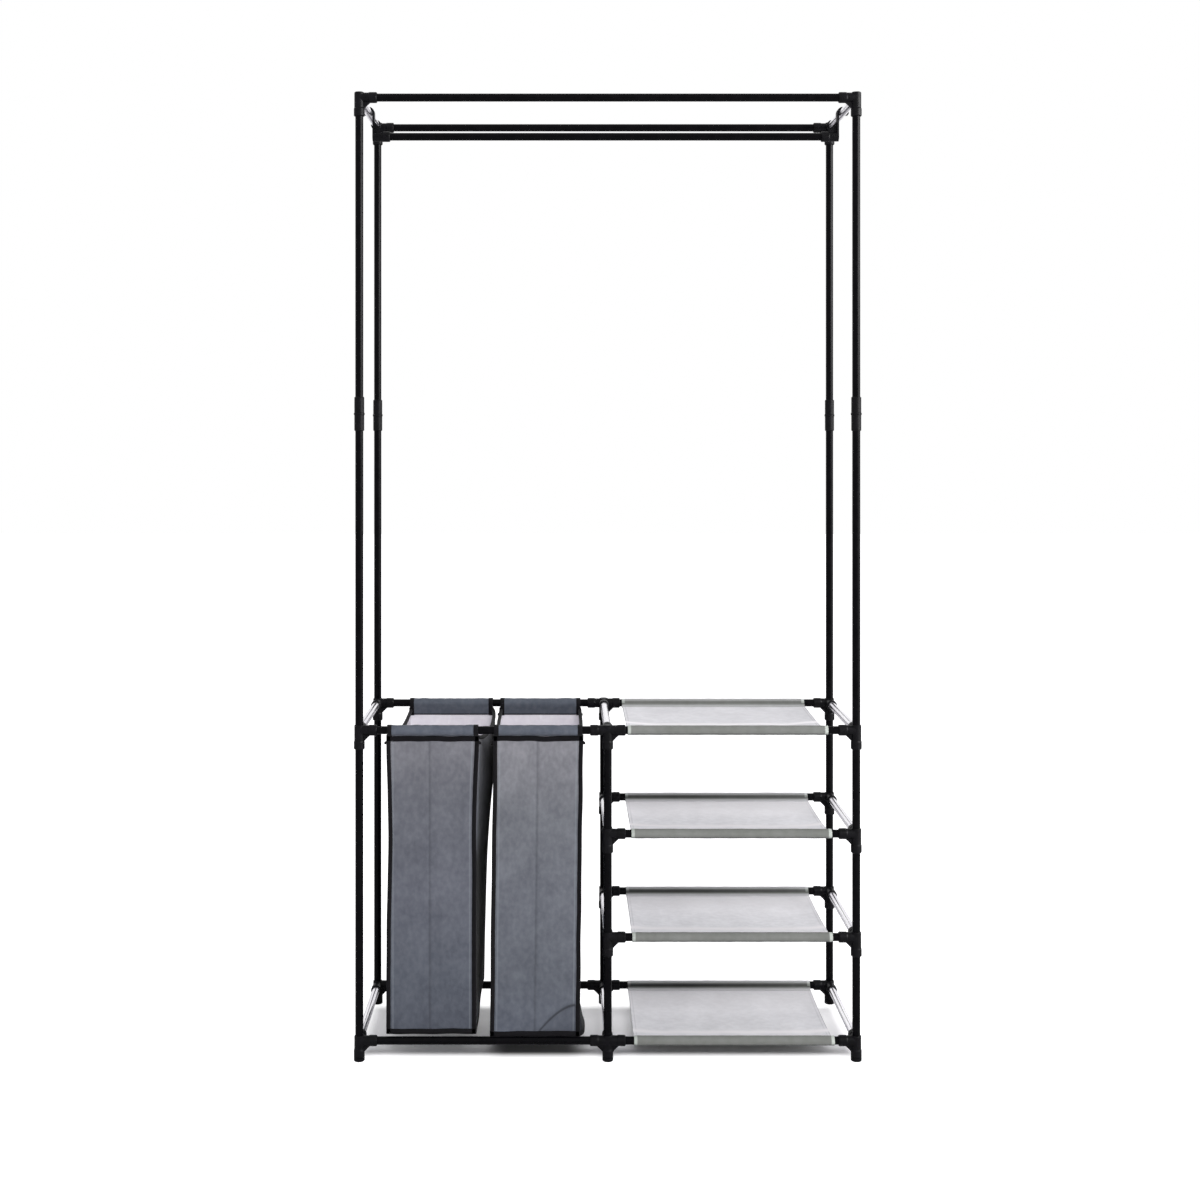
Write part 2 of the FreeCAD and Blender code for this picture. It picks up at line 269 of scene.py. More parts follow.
powder_black = (srgb(3, 3, 5), srgb(7, 6, 9))
powder_coat = finish_surface("black_powder_coat", powder_black, roughness=(0.26, 0.34), bump=0.000006,
                             fine_scale=1500.0, broad_scale=70.0, specular=0.06)
node_slots = {part["node"]: part["material_slot"] for part in frame["record"]["subparts"]}


def dress(slot, material):
    """Gives every node of one material slot its finish."""
    for name, piece in frame["nodes"].items():
        if node_slots[name] == slot:
            piece.data.materials.clear()
            piece.data.materials.append(material)


dress("black_tube", powder_coat)


# The side rails: the same tube with a bright plated skin, drawn lengthwise along the depth of the rack.
# Fine drawing lines and a faint cloudiness keep it from being a plain mirror.
plated_dull, plated_bright = srgb(230, 227, 235), srgb(252, 251, 254)
plated_roughness = (0.14, 0.24)
plated_metal = 0.9
along_depth = (1.0, 0.03, 1.0)

plated, tree = empty_material("bright_plating")
place = add(tree, "ShaderNodeTexCoord").outputs["Object"]
stretched = add(tree, "ShaderNodeMapping", {"Vector": place, "Scale": along_depth}).outputs[0]
lines = grained(tree, stretched, 1400.0, 260.0, 0.5)
cloud = grained(tree, place, 300.0, 30.0, 0.5)
surface(tree, {"Base Color": blend(tree, lines["Mask"], plated_dull, plated_bright),
               "Roughness": rescale(tree, cloud["Mask"], (0.0, 1.0), plated_roughness),
               "Metallic": plated_metal, "Normal": bumped(tree, lines["Height"], 0.00004)})
dress("bright_tube", plated)


# The connectors, couplers, brackets and foot caps: moulded black plastic with a satin grain from the tool.
# They are pushed on the tubes and hold by friction.
plastic_black = (srgb(8, 8, 10), srgb(14, 13, 17))
moulded_plastic = finish_surface("moulded_black_plastic", plastic_black, roughness=(0.4, 0.5), bump=0.00002,
                                 fine_scale=1100.0, broad_scale=90.0, specular=0.1)
dress("black_plastic", moulded_plastic)


# The cloth shelves: light grey non-woven cloth, pulled tight between the front and rear rails.
# Each end is folded round its rail and stitched down on the sheet, and the side edges have a narrow hem.
def grid_faces(rows, columns, first=0, closed=False):
    """Quads of a grid whose points are stored row by row. A closed grid joins its last column to its
    first."""
    row, column = np.meshgrid(np.arange(rows - 1), np.arange(columns if closed else columns - 1),
                              indexing="ij")
    beside = (column + 1) % columns
    here, above = row * columns, (row + 1) * columns
    quads = [here + column, here + beside, above + beside, above + column]
    return np.stack(quads, -1).reshape(-1, 4) + first


def make_piece(name, points, faces, materials, body):
    """A mesh piece from an array of points and a list of faces, on its body and in its slot."""
    mesh = bpy.data.meshes.new(name)
    faces = [list(map(int, face)) for face in faces]
    mesh.from_pydata(np.asarray(points).reshape(-1, 3).tolist(), [], faces)
    mesh.validate()
    mesh.polygons.foreach_set("use_smooth", np.ones(len(mesh.polygons), bool))
    for material in materials:
        mesh.materials.append(material)
    piece = bpy.data.objects.new(name, mesh)
    bpy.context.scene.collection.objects.link(piece)
    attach(piece, body)
    return piece


def store(piece, name, values):
    """Keeps one number per point, for the material to read."""
    marks = piece.data.attributes.new(name, "FLOAT", "POINT")
    marks.data.foreach_set("value", np.ravel(values).astype(np.float32))


def thicken(piece, thickness, offset, lining=0):
    """Gives a sheet its thickness. The lining is the number of slots from the outer face's material to the
    inner's."""
    wall = piece.modifiers.new("cloth_thickness", "SOLIDIFY")
    wall.thickness = thickness
    wall.offset = offset
    wall.material_offset = lining
    wall.material_offset_rim = 0
    wall.use_quality_normals = True


def along(path, count):
    """Points at even steps along a polyline, and the length to each."""
    steps = np.r_[0.0, np.cumsum(np.linalg.norm(np.diff(path, axis=0), axis=1))]
    reach = np.linspace(0.0, steps[-1], count)
    return np.stack([np.interp(reach, steps, path[:, k]) for k in range(path.shape[1])], -1), reach


def swell(x, y, seed, size):
    """Smooth unevenness of a cloth: six sine waves in fixed random directions, for values near -1 to 1."""
    draw = np.random.default_rng(seed)
    turn = draw.uniform(0, np.pi * 2, 6)
    rate = draw.uniform(0.6, 1.7, 6) * np.pi * 2 / size
    phase = draw.uniform(0, np.pi * 2, 6)
    share = 0.42 / draw.uniform(1.0, 2.2, 6)
    return sum(s * np.sin(r * (np.cos(t) * x + np.sin(t) * y) + p)
               for s, r, t, p in zip(share, rate, turn, phase))


def hump(distance, width):
    """A soft hump, 1 in its middle: e to the power of minus the square of distance / width."""
    return np.exp(-(distance / width) ** 2)


# Dimples: the round dents pressed into non-woven cloth, as a height added to the height of its fibres.
dimples, given, result = effect(
    "dimples",
    [("Vector", "Vector", (0, 0, 0)), ("Scale", "Float", 620.0), ("Depth", "Float", 0.6),
     ("Fibre Height", "Float", 0.0)],
    [("Height", "Float")],
)
dents = add(dimples, "ShaderNodeTexVoronoi", {"Vector": given["Vector"], "Scale": given["Scale"]})
dents = reckon(dimples, "MULTIPLY", dents.outputs["Distance"], given["Depth"])
dimples.links.new(reckon(dimples, "ADD", dents, given["Fibre Height"]), result["Height"])

fibre_scale, patch_scale, dimple_scale = 1300.0, 240.0, 620.0
dimple_depth = 0.6
along_fibres = (1.0, 1.0, 0.75)


def cloth_material(name, colours, roughness, mottle_scale, bump, marks=None, painted_shading=None):
    """Non-woven cloth: two colours mixed by a soft mottle, a dimpled surface, and marks from point
    attributes. The painted shading is heights, each with a linear colour that the cloth is multiplied by
    there."""
    material, tree = empty_material(name)
    place = add(tree, "ShaderNodeTexCoord").outputs["Object"]
    long_fibre = add(tree, "ShaderNodeMapping", {"Vector": place, "Scale": along_fibres}).outputs[0]
    fibre = grained(tree, long_fibre, fibre_scale, mottle_scale, 0.15)
    patch = grained(tree, place, patch_scale, mottle_scale * 0.22, 0.5)
    mottle = reckon(tree, "MULTIPLY", reckon(tree, "ADD", fibre["Mask"], patch["Mask"]), 0.5)
    colour = blend(tree, mottle, *colours)
    # Painted shade: the cloth is multiplied darker by height.
    if painted_shading:
        up = add(tree, "ShaderNodeSeparateXYZ", {0: place}).outputs["Z"]
        low, high = painted_shading[0][0], painted_shading[-1][0]
        ramp = add(tree, "ShaderNodeValToRGB", {"Fac": rescale(tree, up, (low, high), (0.0, 1.0))})
        for stop in painted_shading[1:-1]:
            ramp.color_ramp.elements.new((stop[0] - low) / (high - low))
        for element, stop in zip(ramp.color_ramp.elements, painted_shading):
            element.color = (*stop[1], 1.0)
        colour = blend(tree, 1.0, colour, ramp.outputs["Color"], "MULTIPLY")
    for attribute, mark_colour in (marks or {}).items():
        mark = add(tree, "ShaderNodeAttribute", attribute_name=attribute).outputs["Fac"]
        colour = blend(tree, mark, colour, mark_colour)
    values = {"Vector": place, "Scale": dimple_scale, "Depth": dimple_depth, "Fibre Height": fibre["Height"]}
    relief = add(tree, "ShaderNodeGroup", values, node_tree=dimples).outputs["Height"]
    surface(tree, {"Base Color": colour, "Roughness": roughness, "Normal": bumped(tree, relief, bump),
                   "Specular IOR Level": 0.12, "Sheen Weight": 0.06, "Sheen Roughness": 0.5})
    return material


shelf_grey = (srgb(118, 120, 116), srgb(129, 131, 128))
shelf_inside = (srgb(233, 232, 237), srgb(250, 249, 254))
# Outer face: a pale hem, painted shade under the sleeves, and painted light and painted shade on the rear
# sleeves.
outer_marks = {"hem": srgb(196, 202, 196), "under_edge_painted_shade": srgb(78, 80, 80), "rear_painted_light": srgb(238, 237, 242),
               "rear_shade": srgb(16, 16, 18)}
# Inner face: stitching lines with a painted grey shade over the sheet, and painted pale light on the sheet.
inner_marks = {"stitching_and_painted_grey": srgb(150, 150, 154), "painted_pale_light": srgb(254, 251, 255)}
shelf_outer_face = cloth_material("shelf_cloth_outer_face", shelf_grey, roughness=0.85, mottle_scale=90.0,
                                  bump=0.0001, marks=outer_marks)
shelf_inner_face = cloth_material("shelf_cloth_inner_face", shelf_inside, roughness=0.85, mottle_scale=90.0,
                                  bump=0.00008, marks=inner_marks)

tube_radius = 0.007
rail_front, rail_rear = -0.140, 0.140
shelf_thickness = 0.0008
wrap_radius = 0.0077
sheet_drop = 0.0046
sheet_top = -0.0042
shelf_sag = 0.006
edge_lift = 0.75
join_reach = 0.013
free_reach = 0.02
hem_reach = 0.020
hem_gap = 0.0012
hem_width = 0.006
hem_seam_inset = 0.0058
highlight_line_width = 0.010
sleeve_depth = 0.009
rear_part = 0.09
edge_draw = 0.0006
pull_height, pull_seed = 0.0008, 40
ruck_height, ruck_seed = 0.00035, 60
ruck_reach = 0.004
hem_places = [0, 0.0007, 0.0014, 0.0022, 0.0035, 0.005, 0.0058, 0.0066, 0.0078, 0.010]


def touch(spot, side, radius):
    """The angle at which a straight run from a spot touches a circle, on one side or the other."""
    return np.arctan2(spot[1], spot[0]) + side * np.arccos(radius / np.hypot(*spot))


def wrapped(start, end, radius):
    """Points of a cloth's turn round a rail: an arc that the runs from start and to end touch."""
    turn = np.linspace(touch(start, 1, radius), 2 * np.pi + touch(end, -1, radius), 50)
    return radius * np.stack([np.cos(turn), np.sin(turn)], -1)


def shelf_profile():
    """Side view of a shelf, as distances from the rack's middle and heights above the rail's axis.
    The hem lies on the sheet, then the cloth goes over the rail, round it and under it, and becomes the
    sheet, whose height is a parabola."""
    half_free = rail_rear - join_reach

    def sheet_height(y):
        return -sheet_drop - shelf_sag * (1 - (y / half_free) ** 2)

    hem = np.linspace(hem_reach, join_reach, 4)
    hem_points = np.stack([hem, sheet_height(rail_rear - hem) + hem_gap], -1)
    under = np.array([join_reach, -sheet_drop])
    front = np.vstack([hem_points, wrapped(hem_points[-1], under, wrap_radius), under])
    front[:, 0] += rail_front
    across = np.linspace(-half_free, half_free, 70)[1:-1]
    sheet = np.stack([across, sheet_height(across)], -1)
    return np.vstack([front, sheet, front[::-1] * (-1, 1)])


def spread(half, fine, count):
    """Places from -half to half: the fine distances in from each end, and even steps between."""
    fine = np.asarray(fine)
    middle = np.linspace(-half + fine[-1], half - fine[-1], count)[1:-1]
    return np.concatenate([fine - half, middle, (half - fine)[::-1]])


# The light painted on each shelf: where its painted highlight line lies, how dark the painted shade on its
# rear sleeve is in the middle and how pale the painted light is at its top and below, how pale the painted
# light makes the rear of its sheet, and how grey the painted shade makes the rest of the sheet.
shelf_painted_light = {
    1: {"fold": 0.030, "dark": 0.29, "top": 0.35, "below": 0.55, "rear": 0.0, "grey": 0.24},
    2: {"fold": 0.050, "dark": 0.66, "top": 0.6, "below": 1.0, "rear": 0.6, "grey": 0.0},
    3: {"fold": 0.066, "dark": 0.71, "top": 0.6, "below": 1.0, "rear": 0.5, "grey": 0.0},
    4: {"fold": 0.080, "dark": 0.81, "top": 0.6, "below": 1.0, "rear": 0.42, "grey": 0.1},
}


def cloth_shelf(number):
    """One shelf: the side view carried across the bay. The hemmed edges draw in a little between the rails
    and sag less than the middle. The rucks of the sleeves lift the cloth off the rail."""
    node = "shelf_%d_cloth" % number
    low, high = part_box(node)
    rail_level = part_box("shelf_%d_rail_front" % number)[0].z + tube_radius
    middle = (low.x + high.x) / 2
    half_width = (high.x - low.x) / 2
    side, reach = along(shelf_profile(), 250)
    place, y = np.meshgrid(spread(half_width, hem_places, 66), side[:, 0], indexing="ij")
    z = np.broadcast_to(side[:, 1], y.shape).copy()
    above_sheet = side[:, 1] > sheet_top
    sheet_start = reach[np.argmin(np.abs(side[:, 0] - rail_front - join_reach) + 9 * above_sheet)]
    from_front = np.clip((reach - sheet_start) / free_reach, 0, 1)
    on_sheet = from_front * np.clip((reach[-1] - sheet_start - reach) / free_reach, 0, 1)
    bow = np.clip(1 - (y / rail_rear) ** 2, 0, 1)
    share = place / half_width
    x = middle + place - edge_draw * on_sheet * bow * share ** 3
    pulls = pull_height * swell(x * 3.2, y * 0.5, pull_seed + number, 0.22)
    z = z + on_sheet * (pulls + edge_lift * shelf_sag * share ** 6 * bow)
    ruck = (1 - on_sheet) * ruck_height * np.abs(swell(x, reach[None, :] * 4, ruck_seed + number, 0.035))
    ruck = ruck * (np.abs(y) > rail_rear - ruck_reach)
    away = y - np.sign(y) * rail_rear
    size = np.maximum(np.hypot(away, z), ruck_reach)
    y, z = y + ruck * away / size, z + ruck * z / size
    points = np.stack([x, y, z + rail_level], -1)
    sheet = make_piece("shelf_%d_sheet" % number, points, grid_faces(*x.shape),
                       [shelf_outer_face, shelf_inner_face], "frame")
    mark_shelf(sheet, shelf_painted_light[number], number > 1, y, z / wrap_radius, share, half_width, on_sheet)
    thicken(sheet, shelf_thickness, 0.0, lining=1)
    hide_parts(node)


def mark_shelf(sheet, painted_shading, lower, y, lift, share, half_width, on_sheet):
    """The marks of a shelf: hems at the ends of the sleeves, painted shade and painted light round the
    sleeves, a painted highlight line, painted light at the rear of the sheet, the stitching and the painted
    grey of the sheet. The lift is the height over the rail's axis, in wrap radii. On the lower shelves the
    painted shade of the rear sleeve fades towards the right."""
    edge = half_width * (1 - np.abs(share))
    off_sheet = on_sheet < 0.01
    on_sleeve = off_sheet * (np.abs(y) > rail_rear - sleeve_depth)
    hem = np.clip((hem_width - edge) / 0.001, 0, 1)
    store(sheet, "hem", (0.7 + 0.25 * (share > 0)) * on_sleeve * hem)
    # Painted shade on the underside of each sleeve.
    store(sheet, "under_edge_painted_shade", 0.8 * on_sleeve * np.clip((-0.5 - lift) / 0.3, 0, 1))
    at_rear = (y > rear_part) * off_sheet
    # Rear sleeve: painted light, pale along its top and below the rail, and painted shade, dark, across its
    # middle.
    below = painted_shading["below"] * np.clip((-0.02 - lift) * 1.55, 0, 1)
    above = painted_shading["top"] * np.clip((lift - 0.5) / 0.4, 0, 1)
    store(sheet, "rear_painted_light", at_rear * np.maximum(below, above))
    store(sheet, "rear_shade", painted_shading["dark"] * at_rear * hump(lift - 0.25, 0.42) *
          np.clip(1 - 0.3 * share * lower, 0, 1.1))
    # Painted light: the rear of the sheet paler, and a pale highlight line near its front, at the fold
    # place.
    painted_rear_light = painted_shading["rear"] * np.clip(y / rear_part, 0, 1)
    fold = hump(y + painted_shading["fold"], highlight_line_width)
    store(sheet, "painted_pale_light", np.maximum(fold, painted_rear_light) * (on_sheet > 0.01))
    # Stitching lines by the side edges, and over the sheet a painted grey shade that fades towards the rear.
    line = np.clip(hump(edge, 0.0012) + 0.45 * hump(edge - hem_seam_inset, 0.0008), 0, 1)
    store(sheet, "stitching_and_painted_grey", 0.6 * line * (on_sheet > 0.01) + painted_shading["grey"] * (1 - painted_rear_light))


for number in shelf_painted_light:
    cloth_shelf(number)


# The laundry bags: grey non-woven cloth with a pale lining, sewn as a tall open box.
# A sleeve at the front and rear hangs each bag from its rails, and its sides swell and hang free.
bag_grey = (srgb(119, 120, 126), srgb(141, 142, 147))
# Painted shade: each bag's cloth grows darker towards its base, and the left bag is darker than the right
# one.
bag_painted_shading = {
    "left": [(0.06, (0.38, 0.41, 0.47)), (0.144, (0.455, 0.49, 0.55)), (0.3, (0.55, 0.57, 0.63)),
             (0.46, (0.567, 0.58, 0.62)), (0.56, (0.81, 0.80, 0.82))],
    "right": [(0.06, (0.49, 0.53, 0.60)), (0.144, (0.545, 0.58, 0.628)), (0.3, (0.62, 0.646, 0.69)),
              (0.43, (0.677, 0.698, 0.72)), (0.56, (1.0, 0.98, 0.985))],
}
# Bag marks: a pale strip beside the edges, painted shade along the creases, and near-black painted shade.
bag_marks = {"edge_strip": srgb(150, 157, 164), "crease": srgb(60, 62, 68), "painted_deep_shade": srgb(3, 2, 6)}
lining_pale = (srgb(232, 228, 236), srgb(243, 240, 246))
sleeve_grey = (srgb(82, 87, 97), srgb(98, 103, 113))
sleeve_marks = {"crease": srgb(30, 30, 34)}
tape_dark = (srgb(9, 8, 11), srgb(16, 15, 19))

bag_cloth = {
    side: cloth_material("bag_cloth_" + side, bag_grey, roughness=0.9, mottle_scale=120.0, bump=0.00012,
                         marks=bag_marks, painted_shading=painted_shading)
    for side, painted_shading in bag_painted_shading.items()
}
bag_lining = cloth_material("bag_lining", lining_pale, roughness=0.9, mottle_scale=120.0, bump=0.0001)
sleeve_cloth = cloth_material("bag_sleeve_cloth", sleeve_grey, roughness=0.88, mottle_scale=120.0,
                              bump=0.00012, marks=sleeve_marks)
tape_black = cloth_material("binding_tape", tape_dark, roughness=0.8, mottle_scale=160.0, bump=0.0001)

# The foot and the inner edge of a sleeve are given as a distance out from the rail's axis, and one up from
# the mouth. The levels at which a bag swells and draws in are shares of its height, from the mouth down.
bag_wall = 0.0015
corner_radius = 0.005
base_sag = 0.004
mouth_sag = 0.014
swell_level = 0.2
waist_level = 0.36
ripple_height = 0.0013
ridge_depth = 0.0008
corner_start, corner_span = 0.005, 0.066
corner_low, corner_rise = 0.005, 0.0495
corner_fold_depth = 0.0012
foot_height = 0.038
dense_below = 0.07
sleeve_wall = 0.001
sleeve_radius = 0.0082
sleeve_end = 0.0035
sleeve_foot = (0.00025, 0.0005)
sleeve_inner_edge = (-0.00150, -0.0125)
sleeve_slack = 0.0006
sleeve_seam_width = 0.0032
tape_thickness = 0.0012
tape_width = 0.008
edge_tape_width = 0.006
mouth_tape_girth = 0.0066
mouth_tape_rise = 0.001
face_tape_width = 0.0092
end_tape_half = 0.004
end_tape_gap = 0.0011
end_tape_thickness = 0.0008
tab_width = 0.0065
tab_reach, tab_drop = 0.0046, 0.003
upright_wobble, base_wobble, face_wobble = 0.0005, 0.0006, 0.0007
upright_steps, width_steps, depth_steps = 60, 50, 70
crease_shade_width = 0.0021
edge_strip_inset = 0.0105

bag_shapes = {
    "left": {"swell_left": -0.003, "swell_right": 0.0148, "shear": 0.0, "pinch": 0.0035, "seed": 3,
             "hang": 0.0, "crease": -0.0035, "corner_fold": 0.0, "rear_slip": 0.0135, "spread": 0.005,
             "foot": 0.0, "painted_dark_side": 1.0},
    "right": {"swell_left": 0.001, "swell_right": 0.0015, "shear": -0.006, "pinch": 0.0, "seed": 8,
              "hang": 0.0045, "crease": -0.001, "corner_fold": 1.0, "rear_slip": 0.0, "spread": 0.0,
              "foot": 0.0095, "painted_dark_side": 0.0},
}


def bag_outline(half_x, half_y, radius, crease):
    """A bag seen from above: a rounded rectangle, anticlockwise from its front left corner, with closer
    points at the crease and near the edges. Returns the points and the outward direction at each."""
    arc = np.linspace(0, np.pi / 2, 6)
    inner_x, inner_y = half_x - radius, half_y - radius
    near = np.array([-0.0035, -0.002, -0.001, 0, 0.001, 0.002, 0.0035]) + crease
    fine = np.array([0.0, 0.0015, 0.003, 0.0045, 0.0055, 0.0065, 0.0080, 0.0100])
    wide = spread(inner_x, fine, 52)
    wide = np.sort(np.r_[wide[np.abs(wide - crease) > 0.0042], near])
    painted_deep_shade = spread(inner_y, fine, 44)
    spots, ways = [], []
    straight = [(wide[1:-1], -half_y, 0, -1), (half_x, painted_deep_shade[1:-1], 1, 0), (wide[::-1][1:-1], half_y, 0, 1),
                (-half_x, painted_deep_shade[::-1][1:-1], -1, 0)]
    centres = [(inner_x, -inner_y), (inner_x, inner_y), (-inner_x, inner_y), (-inner_x, -inner_y)]
    for k, (x, y, way_x, way_y) in enumerate(straight):
        spots.append(np.stack(np.broadcast_arrays(x, y), -1))
        ways.append(np.broadcast_to([way_x, way_y], spots[-1].shape))
        angle = arc + (k - 1) * np.pi / 2
        way = np.stack([np.cos(angle), np.sin(angle)], -1)
        spots.append(np.array(centres[k]) + radius * way)
        ways.append(way)
    return np.vstack(spots), np.vstack(ways)


def bag_form(shape, spots, ways, z, top, bottom):
    """Places points of a bag: the outline is pushed in or out by how the cloth swells.
    A side swells most at a fifth of the fall and behind its middle, by 1 / (1 + ((fall - 0.2) / 0.2)^2),
    front and rear ripple, and the whole may lean. The rear may slip along its rail, the mouth spread at its
    right, and the foot of the right side push out near the front."""
    x, y = np.broadcast_to(spots[:, 0], z.shape), np.broadcast_to(spots[:, 1], z.shape)
    fall = (top - z) / (top - bottom)
    t = y / np.abs(spots[:, 1]).max()
    s = x / np.abs(spots[:, 0]).max()
    high = (1 - fall ** 8) / (1 + ((fall - swell_level) / swell_level) ** 2)
    side = np.where(x > 0, shape["swell_right"], shape["swell_left"])
    belly = side * high * np.sqrt(np.clip(1 - t ** 2, 0, 1)) * (1 + 0.45 * t) / 1.085
    belly = belly + ripple_height * swell(y * 1.3, z, shape["seed"], 0.28) * (1 - t ** 4)
    waist = -shape["pinch"] * hump(fall - waist_level, 0.2) * (x < 0)
    ripple = ripple_height * swell(x * 1.6, z, shape["seed"] + 1, 0.2) * np.clip(1 - s ** 6, 0, 1)
    calm = np.clip(fall * 12, 0, 1)
    ridge = -ridge_depth * hump(x - shape["crease"], 0.0025)
    away = z - bottom - corner_crease(x)
    near = np.clip((x - 0.004) / 0.01, 0, 1) * np.clip(s * 14, 0, 1)
    fold = hump(away, 0.003) - (away < 0) * (1 - hump(away, 0.006))
    fold = corner_fold_depth * shape["corner_fold"] * near * fold
    on_side = np.abs(ways[:, 0])
    side_push = np.sign(x) * (belly + waist * (np.abs(s) > 0.5)) * on_side
    slip = shape["rear_slip"] * (t + 1) / 2 * (1 - fall)
    wide = shape["spread"] * hump(fall, 0.16) * np.clip(s, 0, 1)
    foot = shape["foot"] * (1 - np.exp(-(t + 1) / 0.05)) * hump(t + 0.75, 0.45)
    foot = foot * np.clip(1.25 - (z - bottom) / foot_height, 0, 1) * (x > 0) * on_side
    face_push = ways[:, 1] * (ripple * calm + ridge + np.where(y < 0, fold, 0)) * (1 - on_side)
    return x + side_push + slip + wide + foot + shape["shear"] * fall, y + face_push


def corner_crease(x):
    """Height above the base of the crease across the lower right corner of a front: it rises steeply, then
    levels."""
    share = np.clip((x - corner_start) / corner_span, 0, 1)
    return corner_low + corner_rise * (1 - (1 - share) ** 1.7)


def carried(path, across, out, profile):
    """A closed profile carried along a path. Each profile point is a distance across and a distance out.
    Returns the points, row by row, and the faces with both ends closed."""
    across, out = np.broadcast_to(across, path.shape), np.broadcast_to(out, path.shape)
    points = path[:, None] + across[:, None] * profile[..., :1] + out[:, None] * profile[..., 1:]
    rows, columns = points.shape[:2]
    faces = grid_faces(rows, columns, closed=True).tolist()
    faces.append(list(range(columns))[::-1])
    faces.append(list(range((rows - 1) * columns, rows * columns)))
    return points.reshape(-1, 3), faces


def joined(strips):
    """Several strips put into one list of points and one of faces."""
    points, faces, first = [], [], 0
    for strip_points, strip_faces in strips:
        points.append(strip_points)
        faces += [[corner + first for corner in face] for face in strip_faces]
        first += len(strip_points)
    return np.vstack(points), faces


def flat_tape(width, thickness):
    """Cross-section of a tape that lies flat: a box with its long edges rounded, from 0 to width across."""
    bend = np.linspace(-np.pi / 2, np.pi / 2, 5)
    end = thickness / 2 * np.stack([np.cos(bend), np.sin(bend)], -1)
    right = end + (width - thickness / 2, thickness / 2)
    left = end * (-1, -1) + (thickness / 2, thickness / 2)
    return np.vstack([right, left])


def corner_tape(width, thickness):
    """Cross-section of a tape folded over a sewn corner: two legs that meet in a rounded outer edge."""
    bend = np.linspace(np.pi, np.pi * 1.5, 5)
    outer = thickness * np.stack([np.cos(bend), np.sin(bend)], -1)
    legs = [(width, -thickness), (width + 0.0004, -thickness / 2), (width, 0), (0, 0), (0, width),
            (-thickness / 2, width + 0.0004), (-thickness, width)]
    return np.vstack([outer, legs])


def laundry_bag(side):
    """One bag: a lofted shell from mouth to base, two sleeves, and tape on every sewn edge.
    Its rows lie closer together near the base."""
    shape = bag_shapes[side]
    low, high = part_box("laundry_bag_" + side)
    tape_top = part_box("bag_binding_" + side)[1]
    middle = (low.x + high.x) / 2
    half_x = (high.x - low.x) / 2
    half_y = tape_top.y - tape_thickness
    mouth, bottom = tape_top.z, low.z - shape["hang"]
    spots, ways = bag_outline(half_x, half_y, corner_radius, shape["crease"])
    count = len(spots)
    t = spots[:, 1] / half_y
    on_side = np.abs(ways[:, 0])
    rim = mouth - mouth_sag * on_side * (1 - t ** 2)
    near_base = dense_below / (mouth - bottom)
    v = np.r_[np.linspace(0, 1 - near_base, 62)[:-1], np.linspace(1 - near_base, 1, 34)][:, None]
    z = rim + (bottom - rim) * v
    x, y = bag_form(shape, spots, ways, z, mouth, bottom)
    wall = np.stack([x + middle, y, z], -1)
    shrink = (np.cos(np.linspace(0, np.pi / 2, 12))[1:-1] ** 0.7)[:, None]
    base_x = x[-1].mean() + (x[-1] - x[-1].mean()) * shrink
    base_z = bottom - base_sag * (1 - shrink ** 2) ** 1.5 + 0 * base_x
    base = np.stack([base_x + middle, y[-1] * shrink, base_z], -1)
    grid = np.vstack([wall, base])
    rows = grid.shape[0]
    faces = grid_faces(rows, count, closed=True)[:, ::-1].tolist()
    faces.append(list(range((rows - 1) * count, rows * count))[::-1])
    body = "bag_" + side
    shell = make_piece("laundry_bag_%s_cloth" % side, grid, faces, [bag_cloth[side], bag_lining], body)
    mark_bag(shell, shape, spots, on_side, grid[:, :, 2], half_x, mouth, bottom)
    thicken(shell, bag_wall, -1.0, lining=1)
    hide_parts("laundry_bag_" + side)
    bag_sleeves(side, body, shape, middle, half_x, mouth)
    bag_tape(side, body, shape, middle, half_x, half_y, mouth, bottom)


def mark_bag(shell, shape, spots, on_side, z, half_x, mouth, bottom):
    """The marks of a bag: a pale strip beside the edges, painted shade along the crease down each face and
    the fold across the corner, and painted shade on a side and a foot that stand in shadow."""
    x = spots[:, 0]
    on_face = on_side < 0.5
    inset = np.where(on_face, half_x - np.abs(x), 1.0)
    strip = 0.3 * hump(inset - edge_strip_inset, 0.0010)
    store(shell, "edge_strip", np.tile(strip, (len(z), 1)))
    # Painted shade along the crease down each face and the fold across the lower right corner.
    line = np.where(on_face, hump(x - shape["crease"], crease_shade_width), 0)
    away = z - bottom - corner_crease(x)
    in_corner = (x > corner_start) * (spots[:, 1] < 0) * on_face * shape["corner_fold"]
    slanted = in_corner * (hump(away, 0.0026) + 0.12 * (away < 0))
    store(shell, "crease", np.clip(0.3 * line + slanted, 0, 1))
    # Painted shade: the right side of the left bag and the foot of the right bag darkened where they stand
    # in shadow.
    fall = (mouth - z) / (mouth - bottom)
    t = spots[:, 1] / np.abs(spots[:, 1]).max()
    in_shadow = np.clip(fall / 0.1 - 3.4, 0, 1) * np.clip((0.95 - fall) / 0.07, 0, 1)
    behind = np.clip((t + 0.3) / 0.4, 0, 1)
    painted_dark_side = (x > 0) * (on_side > 0.5) * shape["painted_dark_side"]
    painted_dark_foot = (x > 0) * on_side * (fall > 0.9) * (shape["foot"] > 0)
    dark = painted_dark_side * np.maximum(0.97 * in_shadow, 0.72 * behind)
    store(shell, "painted_deep_shade", np.maximum(0.9 * painted_dark_foot, dark))


